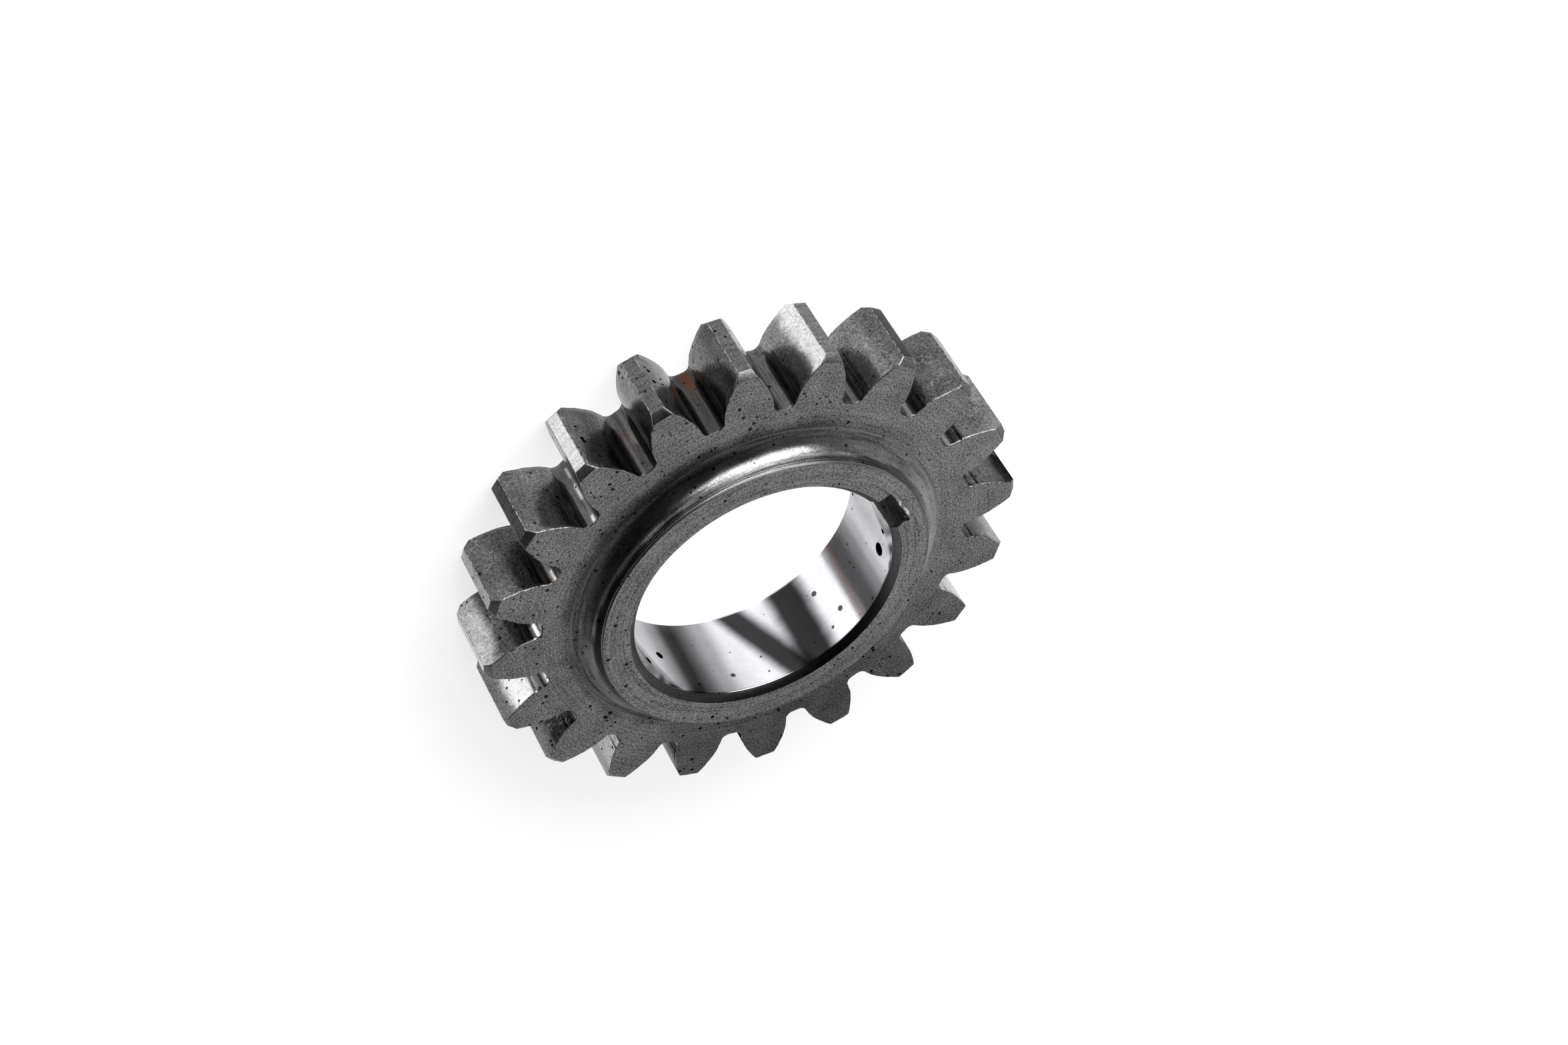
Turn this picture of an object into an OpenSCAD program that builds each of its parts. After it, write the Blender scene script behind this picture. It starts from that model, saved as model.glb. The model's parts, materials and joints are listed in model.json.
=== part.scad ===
// Crankshaft gear: a small spur gear that is keyed to the end of a crankshaft.
// It is turned from one steel blank, with a raised hub on its outer side, then toothed and broached.
// It lies on its flat back face, with the shaft's axis along Z and one tooth centred on +X.

/* [Teeth] */
// Number of teeth
teeth = 20; // [18:1:40]
// Module: pitch diameter divided by the number of teeth
gear_module = 3; // [2.8:0.1:5]
// Pressure angle in degrees
pressure_angle = 25; // [14.5:0.5:25]
// Tooth height above the pitch circle, in modules
addendum_factor = 1; // [0.7:0.05:1.1]
// Depth of the tooth space below the pitch circle, in modules
dedendum_factor = 1.25; // [1:0.01:1.26]
// Radius of the fillet between a flank and the bottom of the tooth space, in modules
root_fillet_factor = 0.32; // [0.1:0.02:0.36]
// Thickness of the toothed disc, from the back face to the front face
face_width = 10; // [6:0.5:25]
// Bevel turned on the tips of the teeth at both faces
tip_bevel = 0.75; // [0.2:0.05:1.5]

/* [Hub] */
// Outer diameter of the raised hub
hub_d = 40.6; // [38:0.2:44]
// Height of the hub above the front face
hub_rise = 3; // [1:0.25:12]
// Radius of the fillet between the hub and the front face
hub_fillet = 2.6; // [0.5:0.1:3]
// Bevel on the outer edge of the hub
hub_bevel = 0.2; // [0.1:0.05:0.6]

/* [Bore] */
// Diameter of the bore that fits the crankshaft
bore_d = 32; // [24:0.5:34]
// Bevel at both ends of the bore
bore_bevel = 0.8; // [0.2:0.1:1.2]

/* [Keyway] */
// Width of the keyway
key_w = 5.8; // [3:0.1:10]
// Depth of the keyway, from the wall of the bore to the keyway's floor
key_depth = 2.2; // [1:0.1:2.6]
// Angle from the tooth on +X to the middle of the keyway
key_angle = 5.9; // [0:0.1:18]

/* [Hidden] */
steel = "#5f6263";
// Straight steps along one flank, and round one root fillet
flank_steps = 8;
fillet_steps = 4;
// How far a cutting shape runs past the metal that it cuts, and a flank past the tip circle
overcut = 1;
flank_overcut = 0.25;
$fn = 180;

tooth_pitch = 360 / teeth;
pitch_r = gear_module * teeth / 2;
base_r = pitch_r * cos(pressure_angle);
tip_r = pitch_r + addendum_factor * gear_module;
root_r = pitch_r - dedendum_factor * gear_module;
root_fillet = root_fillet_factor * gear_module;
hub_r = hub_d / 2;
bore_r = bore_d / 2;
key_floor_r = bore_r + key_depth;
total_h = face_width + hub_rise;
// The fillet leaves room for the bevel on top of the hub
hub_fillet_r = min(hub_fillet, hub_rise - hub_bevel);

// A point at radius r and angle a, and the angle of a point
function polar(r, a) = [r * cos(a), r * sin(a)];
function angle_of(p) = atan2(p[1], p[0]);

// Involute function, in degrees
function inv(a) = tan(a) * 180 / PI - a;
// Angle between an involute at radius r and the line from the centre
function flank_lean(r) = acos(min(1, base_r / r));
// Half of the angle that the tooth space covers at radius r
function space_half(r) = tooth_pitch / 4 - inv(pressure_angle) + inv(flank_lean(r));

// The involute stops where the root fillet takes over, or at the base circle
flank_end_r = tip_r + flank_overcut;
flank_start_r = max(base_r, root_r + root_fillet);
flank_start = polar(flank_start_r, space_half(flank_start_r));
// Direction of the flank there, and the direction square to it that points into the tooth space
flank_dir = polar(1, space_half(flank_start_r) + flank_lean(flank_start_r));
flank_side = [flank_dir[1], -flank_dir[0]];

// The root fillet touches the flank's line and the root circle, which places its centre
fillet_from = flank_start + root_fillet * flank_side;
fillet_reach = fillet_from * flank_dir;
fillet_centre_r = root_r + root_fillet;
fillet_drop = fillet_reach
    - sqrt(fillet_reach ^ 2 - fillet_from * fillet_from + fillet_centre_r ^ 2);
fillet_centre = fillet_from - fillet_drop * flank_dir;
// Its arc turns from the root circle to the flank
fillet_foot_angle = 180 + angle_of(fillet_centre);
fillet_turn = angle_of(flank_side) - angle_of(fillet_centre);

// One side of a tooth space, from the middle of its floor outwards, for a space centred on +X
space_side = [
    for (i = [0:fillet_steps])
        fillet_centre + polar(root_fillet, fillet_foot_angle + fillet_turn * i / fillet_steps),
    for (i = [0:flank_steps])
        let (r = flank_start_r + (flank_end_r - flank_start_r) * i / flank_steps)
            polar(r, space_half(r))
];

function mirrored(p) = [p[0], -p[1]];
function turned(p, a) = [p[0] * cos(a) - p[1] * sin(a), p[0] * sin(a) + p[1] * cos(a)];

// Outline of all the teeth: each space runs in along one flank, over its floor and out again
module tooth_outline() {
    last = len(space_side) - 1;
    polygon([
        for (k = [0:teeth - 1])
            let (middle = (k + 0.5) * tooth_pitch)
                for (p = concat(
                        [for (i = [last:-1:0]) mirrored(space_side[i])],
                        space_side))
                    turned(p, middle)
    ]);
}

// Half section of the turned blank, with the hub's concave fillet
module blank_section() {
    fillet_x = hub_r + hub_fillet_r;
    fillet_y = face_width + hub_fillet_r;
    difference() {
        polygon([
            [0, 0],
            [tip_r - tip_bevel, 0],
            [tip_r, tip_bevel],
            [tip_r, face_width - tip_bevel],
            [tip_r - tip_bevel, face_width],
            [fillet_x, face_width],
            [fillet_x, fillet_y],
            [hub_r, fillet_y],
            [hub_r, total_h - hub_bevel],
            [hub_r - hub_bevel, total_h],
            [0, total_h]
        ]);
        translate([fillet_x, fillet_y]) circle(r = hub_fillet_r);
    }
}

module toothed_blank() {
    intersection() {
        rotate_extrude() blank_section();
        translate([0, 0, -overcut])
            linear_extrude(total_h + 2 * overcut) tooth_outline();
    }
}

module bore_cut() {
    translate([0, 0, -overcut]) cylinder(r = bore_r, h = total_h + 2 * overcut);
    // The bevels are short cones that run past each face at the same slope
    translate([0, 0, -overcut])
        cylinder(r1 = bore_r + bore_bevel + overcut, r2 = bore_r, h = bore_bevel + overcut);
    translate([0, 0, total_h - bore_bevel])
        cylinder(r1 = bore_r, r2 = bore_r + bore_bevel + overcut, h = bore_bevel + overcut);
}

module keyway_cut() {
    rotate([0, 0, key_angle])
        translate([0, -key_w / 2, -overcut])
            cube([key_floor_r, key_w, total_h + 2 * overcut]);
}

module crankshaft_gear() {
    color(steel)
        difference() {
            toothed_blank();
            bore_cut();
            keyway_cut();
        }
}

crankshaft_gear();
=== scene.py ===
"""A keyed crankshaft gear of turned and hobbed steel, on a pale studio sweep."""
import json
import math
from dataclasses import dataclass
from functools import partial
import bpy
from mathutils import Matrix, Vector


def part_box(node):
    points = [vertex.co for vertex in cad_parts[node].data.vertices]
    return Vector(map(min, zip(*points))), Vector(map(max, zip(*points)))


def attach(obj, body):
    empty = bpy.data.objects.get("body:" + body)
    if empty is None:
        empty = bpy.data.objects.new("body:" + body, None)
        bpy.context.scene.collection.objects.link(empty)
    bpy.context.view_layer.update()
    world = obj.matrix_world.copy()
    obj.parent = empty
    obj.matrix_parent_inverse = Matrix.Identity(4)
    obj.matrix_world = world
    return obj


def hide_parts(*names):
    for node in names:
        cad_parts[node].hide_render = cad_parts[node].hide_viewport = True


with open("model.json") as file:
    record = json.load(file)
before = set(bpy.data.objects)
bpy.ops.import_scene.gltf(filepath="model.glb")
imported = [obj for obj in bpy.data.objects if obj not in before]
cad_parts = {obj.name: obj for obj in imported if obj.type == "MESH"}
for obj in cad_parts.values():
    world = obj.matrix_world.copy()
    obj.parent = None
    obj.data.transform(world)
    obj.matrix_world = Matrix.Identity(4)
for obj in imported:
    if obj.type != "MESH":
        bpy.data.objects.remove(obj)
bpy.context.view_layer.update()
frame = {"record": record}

from types import SimpleNamespace

import bpy
from bpy.props import FloatProperty, FloatVectorProperty, IntProperty, PointerProperty
from bpy.types import Operator, Panel, PropertyGroup
from mathutils import Matrix, Vector, noise
from mathutils.geometry import tessellate_polygon

bl_info = {
    "name": "Crankshaft Gear",
    "version": (1, 0, 0),
    "blender": (4, 5, 0),
    "location": "3D View > Sidebar > Gear",
    "description": "Builds a keyed crankshaft gear of turned and hobbed steel, and a small studio for it",
    "category": "Object",
}

MM = 0.001
NODE = "crankshaft_gear"
node_low, node_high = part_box(NODE)
bore_mount = next(m for m in frame["record"]["mounts"] if m["name"] == "bore")


def linear(hex_colour):
    """Turn an sRGB hex colour into linear values."""
    parts = [int(hex_colour[i:i + 2], 16) / 255 for i in (1, 3, 5)]
    return [c / 12.92 if c <= 0.04045 else ((c + 0.055) / 1.055) ** 2.4 for c in parts]


def length(name, mm, description):
    return FloatProperty(name=name, description=description, default=mm * MM, min=0, precision=5,
                         unit="LENGTH")


def colour(name, hex_colour, description):
    return FloatVectorProperty(name=name, description=description, default=linear(hex_colour),
                               min=0, max=1, size=3, subtype="COLOR")


class GearSizes(PropertyGroup):
    teeth: IntProperty(name="Teeth", description="Number of teeth", default=20, min=18, max=40)
    gear_module: length("Module", 3, "Pitch diameter divided by the number of teeth")
    pressure_angle: FloatProperty(name="Pressure angle", description="Lean of a flank at the pitch circle",
                                  default=math.radians(25), subtype="ANGLE")
    addendum_factor: FloatProperty(name="Addendum", default=1,
                                   description="Tooth height above the pitch circle, in modules")
    dedendum_factor: FloatProperty(name="Dedendum", default=1.25,
                                   description="Depth of a space below the pitch circle, in modules")
    root_fillet_factor: FloatProperty(name="Root fillet", default=0.32,
                                      description="Radius where a flank meets the floor, in modules")
    face_width: length("Face width", 10, "Thickness of the toothed disc")
    tip_bevel: length("Tip bevel", 0.75, "Bevel turned on the tips of the teeth")
    hub_diameter: length("Hub diameter", 40.6, "Outer diameter of the raised hub")
    full_height: length("Full height", (node_high.z - node_low.z) / MM,
                        "From the back face to the hub's face")
    hub_fillet: length("Hub fillet", 2.6, "Radius between the hub and the front face")
    hub_bevel: length("Hub bevel", 0.2, "Bevel on the outer edge of the hub")
    bore_diameter: length("Bore", 2 * bore_mount["dims"]["r_mm"], "Diameter of the bore")
    bore_bevel: length("Bore bevel", 0.8, "Bevel at both ends of the bore")
    key_width: length("Keyway width", 5.8, "Width of the keyway")
    key_depth: length("Keyway depth", 2.2, "From the bore's wall to the keyway's floor")
    key_angle: FloatProperty(name="Keyway angle", description="From the tooth on +X to the keyway",
                             default=math.radians(5.9), subtype="ANGLE")
    edge_break: length("Edge break", 0.05, "Width of the worn edges of the teeth and the keyway")
    step_radius: length("Cutter step radius", 28.05, "Where the cutter left a fine step on each flank")
    step_depth: length("Cutter step depth", 0.05, "How deep that step is")


class GearColours(PropertyGroup):
    faced: colour("Faced steel", "#8e8e8e", "The two flat faces of the disc")
    turned: colour("Turned steel", "#7a7a7a", "The hub's fillet, the bevels and the keyway")
    hub: colour("Hub steel", "#969696", "The hub's face")
    land: colour("Blank steel", "#6e6e6e", "Tips of the teeth")
    hobbed: colour("Hobbed steel", "#676767", "Flanks of the teeth and floors of the spaces")
    ground: colour("Ground steel", "#f6f6fb", "The bore and the keyway's burrs")
    worn: colour("Worn edges", "#868686", "Worn edges of the teeth")
    pit: colour("Pits", "#1d1b1a", "Small pits and specks")
    rust: colour("Rust", "#5e3a22", "Thin rust in the tooth spaces")
    floor: colour("Floor", "#f2f2f2", "The pale paper sweep")


def in_mm(sizes):
    """All the sizes as plain numbers: lengths in mm, angles in radians."""
    found = {}
    for name, prop in sizes.bl_rna.properties.items():
        if prop.type in {"FLOAT", "INT"}:
            value = getattr(sizes, name)
            found[name] = value / MM if prop.unit == "LENGTH" else value
    return SimpleNamespace(**found)


# Outlines of the teeth and of the bore

# Straight steps on half of a space's floor, round its fillet, up the flank and over half of the tip
ROOT_STEPS, FILLET_STEPS, FLANK_STEPS, LAND_STEPS = 4, 6, 16, 4
# Where the points between the fillet and the cutter's step lie, as shares of the way
STEP_SHARES = (0.3, 0.6, 0.9)
# Straight steps on half of the keyway's floor and on each of its walls, and round the bore
KEY_STEPS, BORE_STEPS = 4, 340
# The finish of each segment of the bore's outline
KEY_SIDE = ["key"] * (2 * KEY_STEPS + 1)
BORE_FINISHES = KEY_SIDE + ["edge"] + ["bore"] * BORE_STEPS + ["edge"] + KEY_SIDE


def polar(r, a):
    return r * math.cos(a), r * math.sin(a)


class ToothForm:
    """Half of one tooth space, from the middle of its floor to the middle of the next tooth."""

    def __init__(self, size):
        self.size = size
        self.pitch = 2 * math.pi / size.teeth
        self.pitch_r = size.gear_module * size.teeth / 2
        self.base_r = self.pitch_r * math.cos(size.pressure_angle)
        self.tip_r = self.pitch_r + size.addendum_factor * size.gear_module
        self.root_r = self.pitch_r - size.dedendum_factor * size.gear_module
        self.fillet_r = size.root_fillet_factor * size.gear_module
        self.lean = math.tan(size.pressure_angle) - size.pressure_angle
        # The involute starts where the root fillet ends, or at the base circle
        self.start_r = max(self.base_r, self.root_r + self.fillet_r)
        self.foot = self.fillet_arc()

    def space_half(self, r):
        """Half of the angle that the space covers at a radius."""
        turn = math.acos(min(1, self.base_r / r))
        return self.pitch / 4 - self.lean + math.tan(turn) - turn

    def fillet_arc(self):
        """Radius and angle of the root fillet's points, from the floor of the space up to the flank."""
        turn = math.acos(min(1, self.base_r / self.start_r))
        angle = self.space_half(self.start_r)
        along = Vector(polar(1, angle + turn))
        side = Vector((along.y, -along.x))
        # The fillet touches the flank's line and the root circle, which places its centre
        start = Vector(polar(self.start_r, angle)) + self.fillet_r * side
        reach = start.dot(along)
        drop = reach - math.sqrt(reach ** 2 - start.length_squared + (self.root_r + self.fillet_r) ** 2)
        centre = start - drop * along
        first = math.atan2(-centre.y, -centre.x)
        last = math.atan2(-side.y, -side.x)
        sweep = (last - first + math.pi) % (2 * math.pi) - math.pi
        arc = [centre + Vector(polar(self.fillet_r, first + sweep * i / FILLET_STEPS))
               for i in range(FILLET_STEPS + 1)]
        return [(p.length, math.atan2(p.y, p.x)) for p in arc]

    def half_space(self, blank_r):
        """Radius and angle of each point, where the blank has this radius."""
        size = self.size
        foot_angle = self.foot[0][1]
        points = [(self.root_r, foot_angle * i / ROOT_STEPS) for i in range(ROOT_STEPS)]
        points += self.foot
        # Below the step the cutter has taken a little more metal
        step_r = size.step_radius
        for share in STEP_SHARES:
            r = self.start_r + (step_r - self.start_r) * share
            points.append((r, self.space_half(r) + size.step_depth * share / r))
        points.append((step_r, self.space_half(step_r) + size.step_depth / step_r))
        low_r, high_r = step_r + size.step_depth, blank_r - size.edge_break
        for i in range(FLANK_STEPS + 1):
            r = low_r + (high_r - low_r) * i / FLANK_STEPS
            points.append((r, self.space_half(r)))
        land = self.space_half(blank_r) + size.edge_break / blank_r
        points += [(blank_r, land + (self.pitch / 2 - land) * i / LAND_STEPS)
                   for i in range(LAND_STEPS + 1)]
        return points

    def outline(self, blank_r):
        """The whole toothed outline as x, y points, anticlockwise from the middle of the tooth on +X."""
        half = self.half_space(blank_r)
        points = []
        for k in range(self.size.teeth):
            middle = (k + 0.5) * self.pitch
            points += [polar(r, middle - a) for r, a in half[:0:-1]]
            points += [polar(r, middle + a) for r, a in half[:-1]]
        return points

    def outline_finishes(self):
        """The finish of each segment of the toothed outline."""
        half = ["root"] * (ROOT_STEPS + FILLET_STEPS) + ["flank"] * (len(STEP_SHARES) + 2 + FLANK_STEPS)
        half += ["edge"] + ["land"] * LAND_STEPS
        return (half[::-1] + half) * self.size.teeth


def bore_outline(size, radius):
    """The bore with its keyway as x, y points, anticlockwise from the middle of the keyway's floor."""
    half = size.key_width / 2
    corner = size.edge_break
    floor_x = size.bore_diameter / 2 + size.key_depth
    wall_angle = math.asin(half / radius)
    wall_from, wall_to = floor_x - corner, radius * math.cos(wall_angle) + corner
    side = [(floor_x, half * i / KEY_STEPS) for i in range(KEY_STEPS)]
    side += [(floor_x, half - corner), (wall_from, half)]
    side += [(wall_from + (wall_to - wall_from) * i / KEY_STEPS, half) for i in range(1, KEY_STEPS + 1)]
    arc_from = wall_angle + corner / radius
    arc_turn = 2 * math.pi - 2 * arc_from
    arc = [polar(radius, arc_from + arc_turn * i / BORE_STEPS) for i in range(BORE_STEPS + 1)]
    points = side + arc + [(x, -y) for x, y in side[:0:-1]]
    turn = Matrix.Rotation(size.key_angle, 2)
    return [tuple(turn @ Vector(p)) for p in points]


# Mesh of the gear

# A turned corner is rounded: its reach as a share of the edge break, and how far its middle sinks
CORNER_REACH, CORNER_SINK = 0.8, 0.3
# Heights in mm of the rings that divide the lower half of the rim, and the bore's wall
RIM_RINGS, BORE_RINGS = (2.5, 4, 5), (10.5, 8.5, 6.5, 4.5, 2.5)
# Worn edges are uneven: waves to a mm, how far they change the width, and the least share of it
WEAR_WAVES, WEAR_SWING, WEAR_LEAST = 1.9, 1.1, 0.45
# The layer of the noise that each worn edge takes its waves from
BACK_LAYER, FRONT_LAYER, BORE_LAYER = 0.3, 7.7, 13.1
# Steps round a circle, and degrees in a step of the hub's fillet
CIRCLE_STEPS, HUB_FILLET_STEP = 720, 3
# The turned ridges under the hub's edge: their height and the band they lie in, in mm, the steps of
# that band, and the steps that are ridges
RIDGE_HEIGHT, RIDGE_BAND, RIDGE_STEPS, RIDGES = 0.035, 0.5, 8, (2, 6)
# Burrs at the end of the keyway's floor: width in mm at each point, counted from the floor's middle
KEY_BURRS = {-3: 0.3, -2: 0.5, -1: 0.42, 0: 0.05, 1: 0.45, 2: 0.14}


class GearMesh:
    """Rings of points in mm, and the faces between them, each with its finish."""

    def __init__(self):
        self.points, self.faces, self.finishes = [], [], []

    def ring(self, outline, heights):
        """Add a ring of points at one height, or with a height for each, and give back its numbers."""
        first = len(self.points)
        if not isinstance(heights, list):
            heights = [heights] * len(outline)
        self.points += [(x, y, z) for (x, y), z in zip(outline, heights)]
        return list(range(first, len(self.points)))

    def band(self, ring, next_ring, finish):
        """Quads from one ring to the next. The metal lies to the left of the way round."""
        count = len(ring)
        for i in range(count):
            j = (i + 1) % count
            self.faces.append((ring[i], ring[j], next_ring[j], next_ring[i]))
            self.finishes.append(finish if isinstance(finish, str) else finish[i])

    def flat(self, outer, inner, finish, up):
        """A flat face between an outer and an inner ring."""
        names = outer + inner
        loops = [[Vector(self.points[i]) for i in loop] for loop in (outer, inner)]
        for triangle in tessellate_polygon(loops):
            a, b, c = (names[i] for i in triangle)
            pa, pb, pc = (Vector(self.points[i]) for i in (a, b, c))
            faces_up = (pb - pa).cross(pc - pa).z > 0
            self.faces.append((a, b, c) if faces_up == up else (a, c, b))
            self.finishes.append(finish)

    def make(self, name, materials):
        """The mesh as an object, with a slot for each finish's material. Its flat faces stay flat."""
        mesh = bpy.data.meshes.new(name)
        mesh.from_pydata([[c * MM for c in p] for p in self.points], [], self.faces)
        for material in materials.values():
            mesh.materials.append(material)
        order = list(materials)
        mesh.polygons.foreach_set("material_index", [order.index(f) for f in self.finishes])
        mesh.polygons.foreach_set("use_smooth", [len(face) == 4 for face in self.faces])
        mesh.update()
        piece = bpy.data.objects.new(name, mesh)
        bpy.context.scene.collection.objects.link(piece)
        return piece


def inset(outline, depths):
    """The outline moved to its left by a depth at each point."""
    moved = []
    for i, (x, y) in enumerate(outline):
        (ax, ay), (bx, by) = outline[i - 1], outline[(i + 1) % len(outline)]
        span = math.hypot(bx - ax, by - ay)
        moved.append((x - (by - ay) / span * depths[i], y + (bx - ax) / span * depths[i]))
    return moved


def wear(outline, layer, edge):
    """How far an edge is worn at each point."""
    widths = []
    for x, y in outline:
        wave = noise.noise(Vector((x * WEAR_WAVES, y * WEAR_WAVES, layer)))
        widths.append(edge * max(WEAR_LEAST, 1 + WEAR_SWING * wave))
    return widths


def circle(radius):
    return [polar(radius, 2 * math.pi * i / CIRCLE_STEPS) for i in range(CIRCLE_STEPS)]


def add_rim(gear, size):
    """The toothed rim, from the back face up. Gives back its first and its last ring."""
    form = ToothForm(size)
    edge, bevel, top = size.edge_break, size.tip_bevel, size.face_width
    soft = edge * CORNER_REACH
    # Height and radius of the blank, which gets narrower by the tip bevel near each face
    levels = [(edge, form.tip_r - bevel + edge), (bevel - soft, form.tip_r - soft),
              (bevel, form.tip_r - soft * CORNER_SINK), (bevel + soft, form.tip_r)]
    levels += [(z, form.tip_r) for z in RIM_RINGS]
    levels += [(top - z, r) for z, r in levels[-2::-1]]
    plain = form.outline_finishes()
    bevelled = ["bevel" if f == "land" else f for f in plain]
    # At the faces the worn corners of the spaces take the dark keyway steel, as painted shade that keeps them
    # from catching the light
    broken = {"root": "key", "flank": "edge", "edge": "edge", "land": "bevel"}
    worn = [broken[f] for f in plain]

    ends = form.outline(form.tip_r - bevel)
    back_wear, front_wear = wear(ends, BACK_LAYER, edge), wear(ends, FRONT_LAYER, edge)
    back = last = gear.ring(inset(ends, back_wear), 0.0)
    for n, (z, r) in enumerate(levels):
        heights, finishes = z, plain
        if n == 0:
            heights, finishes = back_wear, worn
        elif max(z, top - z) > top - bevel or n in (3, len(levels) - 3):
            # The bevels, and the narrow band beside each
            finishes = bevelled
        if n == len(levels) - 1:
            heights = [top - w for w in front_wear]
        ring = gear.ring(form.outline(r), heights)
        gear.band(last, ring, finishes)
        last = ring
    front = gear.ring(inset(ends, front_wear), top)
    gear.band(last, front, worn)
    return back, front


def add_hub(gear, size):
    """The hub's fillet, two fine turned ridges under its edge, and a small bevel, from the front face up."""
    hub_r, high, top, bow = size.hub_diameter / 2, size.full_height, size.face_width, size.hub_fillet
    bevel_z = high - size.hub_bevel
    ridge_z = bevel_z - RIDGE_BAND
    profile = []
    for degrees in range(0, 91, HUB_FILLET_STEP):
        t = math.radians(degrees)
        z = top + bow * (1 - math.cos(t))
        if z < ridge_z:
            profile.append((hub_r + bow * (1 - math.sin(t)), z, "fillet"))
    for i in range(RIDGE_STEPS + 1):
        z = ridge_z + (bevel_z - ridge_z) * i / RIDGE_STEPS
        # The fillet still widens the wall here
        below = max(0, top + bow - z)
        wall = hub_r + bow - math.sqrt(bow ** 2 - below ** 2)
        profile.append((wall + (RIDGE_HEIGHT if i in RIDGES else 0), z, "fillet"))
    # The hub's bevel takes the mouth's steel, with its painted reflections
    profile.append((hub_r - size.hub_bevel, high, "mouth"))

    first_r, first_z, _ = profile[0]
    low = last = gear.ring(circle(first_r), first_z)
    for r, z, finish in profile[1:]:
        ring = gear.ring(circle(r), z)
        gear.band(last, ring, finish)
        last = ring
    return low, last


def add_bore(gear, size):
    """The bore and the keyway, from the hub's face down to the back face."""
    edge, high, mouth, bore_r = size.edge_break, size.full_height, size.bore_bevel, size.bore_diameter / 2
    soft = edge * CORNER_REACH
    # Height above the nearest face, and radius, of the bevel at each end
    bevel = [(edge, bore_r + mouth - edge), (mouth - soft, bore_r + soft),
             (mouth, bore_r + soft * CORNER_SINK), (mouth + soft, bore_r)]
    levels = [(high - z, r) for z, r in bevel] + [(z, bore_r) for z in BORE_RINGS] + bevel[::-1]

    ends = bore_outline(size, bore_r + mouth)
    widths = wear(ends, BORE_LAYER, edge)
    for i, width in KEY_BURRS.items():
        widths[i] = width
    upper = last = gear.ring(inset(ends, [-w for w in widths]), high)
    for n, (z, r) in enumerate(levels):
        finishes = BORE_FINISHES
        if z > high - mouth:
            finishes = ["mouth" if f == "bore" else f for f in finishes]
        if n == 0:
            finishes = ["edge" if f == "key" else f for f in finishes]
            for i in range(min(KEY_BURRS), max(KEY_BURRS)):
                finishes[i] = "burr"
        ring = gear.ring(bore_outline(size, r), z)
        gear.band(last, ring, finishes)
        last = ring
    # The rim of the back bevel is even
    lower = gear.ring(ends, 0.0)
    gear.band(last, lower, BORE_FINISHES)
    return upper, lower


def gear_mesh(size):
    """The whole gear as one closed skin: rim, front face, hub, bore and back face."""
    gear = GearMesh()
    back_outer, front_outer = add_rim(gear, size)
    front_inner, hub_outer = add_hub(gear, size)
    gear.flat(front_outer, front_inner, "face", up=True)
    hub_inner, back_inner = add_bore(gear, size)
    gear.flat(hub_outer, hub_inner, "hub", up=True)
    gear.flat(back_outer, back_inner, "face", up=False)
    return gear


# Materials

MATH, VECTOR_MATH, RANGE = "ShaderNodeMath", "ShaderNodeVectorMath", "ShaderNodeMapRange"
SMOOTH = {"interpolation_type": "SMOOTHSTEP"}


def add(tree, kind, inputs=(), operation=None, **settings):
    """Add a node with its settings. Inputs go by order or by name, and each gets a value or a link."""
    node = tree.nodes.new(kind)
    if operation:
        node.operation = operation
    for name, value in settings.items():
        setattr(node, name, value)
    for name, value in inputs.items() if isinstance(inputs, dict) else enumerate(inputs):
        if isinstance(value, bpy.types.Node):
            value = value.outputs[0]
        if isinstance(value, bpy.types.NodeSocket):
            tree.links.new(value, node.inputs[name])
        else:
            node.inputs[name].default_value = value
    return node


# Painted light and shade: degrees round the gear from the tooth on +X, and a factor on the base colour.
# Each table paints the highlights, reflections and shade that one finish would catch round the gear.
FACE_PAINTED_LIGHT = [
    (0, 1.3), (30, 1.25), (60, 1.3), (90, 1.3), (130, 1.25), (160, 1.05), (210, 1.0), (235, 0.55),
    (265, 0.42), (285, 0.55), (300, 0.75), (330, 1.08)]
# Next to the hub the face gets painted shade on most sides, lighter towards +X
FACE_INNER_PAINTED_LIGHT = [
    (0, 1.3), (40, 0.9), (65, 0.55), (90, 0.42), (120, 0.55), (160, 0.6), (210, 0.75), (235, 0.6),
    (265, 0.6), (300, 0.85), (330, 1.2)]
# The hub's fillet: a painted highlight on one side next to the hub's edge, painted shade on the other
FILLET_PAINTED_LIGHT = [
    (0, 1.3), (30, 1.1), (50, 1.0), (75, 0.95), (90, 0.6), (120, 0.75), (150, 0.75), (180, 0.58),
    (210, 0.65), (245, 0.8), (300, 1.2), (335, 1.55)]
FILLET_INNER_PAINTED_LIGHT = [
    (0, 1.2), (30, 0.9), (50, 1.2), (75, 2.0), (90, 1.3), (105, 0.9), (125, 0.2), (150, 0.25), (180, 0.2),
    (210, 0.2), (235, 0.35), (260, 0.7), (300, 1.2), (335, 1.5)]
# Painted light and shade round the hub's face
HUB_PAINTED_LIGHT = [(0, 1.12), (90, 1.06), (150, 0.88), (200, 0.95), (260, 0.78), (320, 1.0)]
# Painted reflections on the bevels, one step for each tooth
BEVEL_PAINTED_LIGHT = [(0, 1.0), (63, 1.25), (81, 0.3), (99, 0.7), (117, 0.65), (135, 1.0)]
# Painted highlights and shade on the tips of the teeth, one step for each tooth
LAND_PAINTED_LIGHT = [
    (9, 2.2), (27, 0.1), (45, 1.1), (63, 0.8), (81, 0.76), (99, 4.3), (117, 0.28), (135, 1.9), (153, 3.6),
    (171, 1.2), (189, 1.0), (297, 1.3), (333, 1.0), (351, 1.0)]
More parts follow.
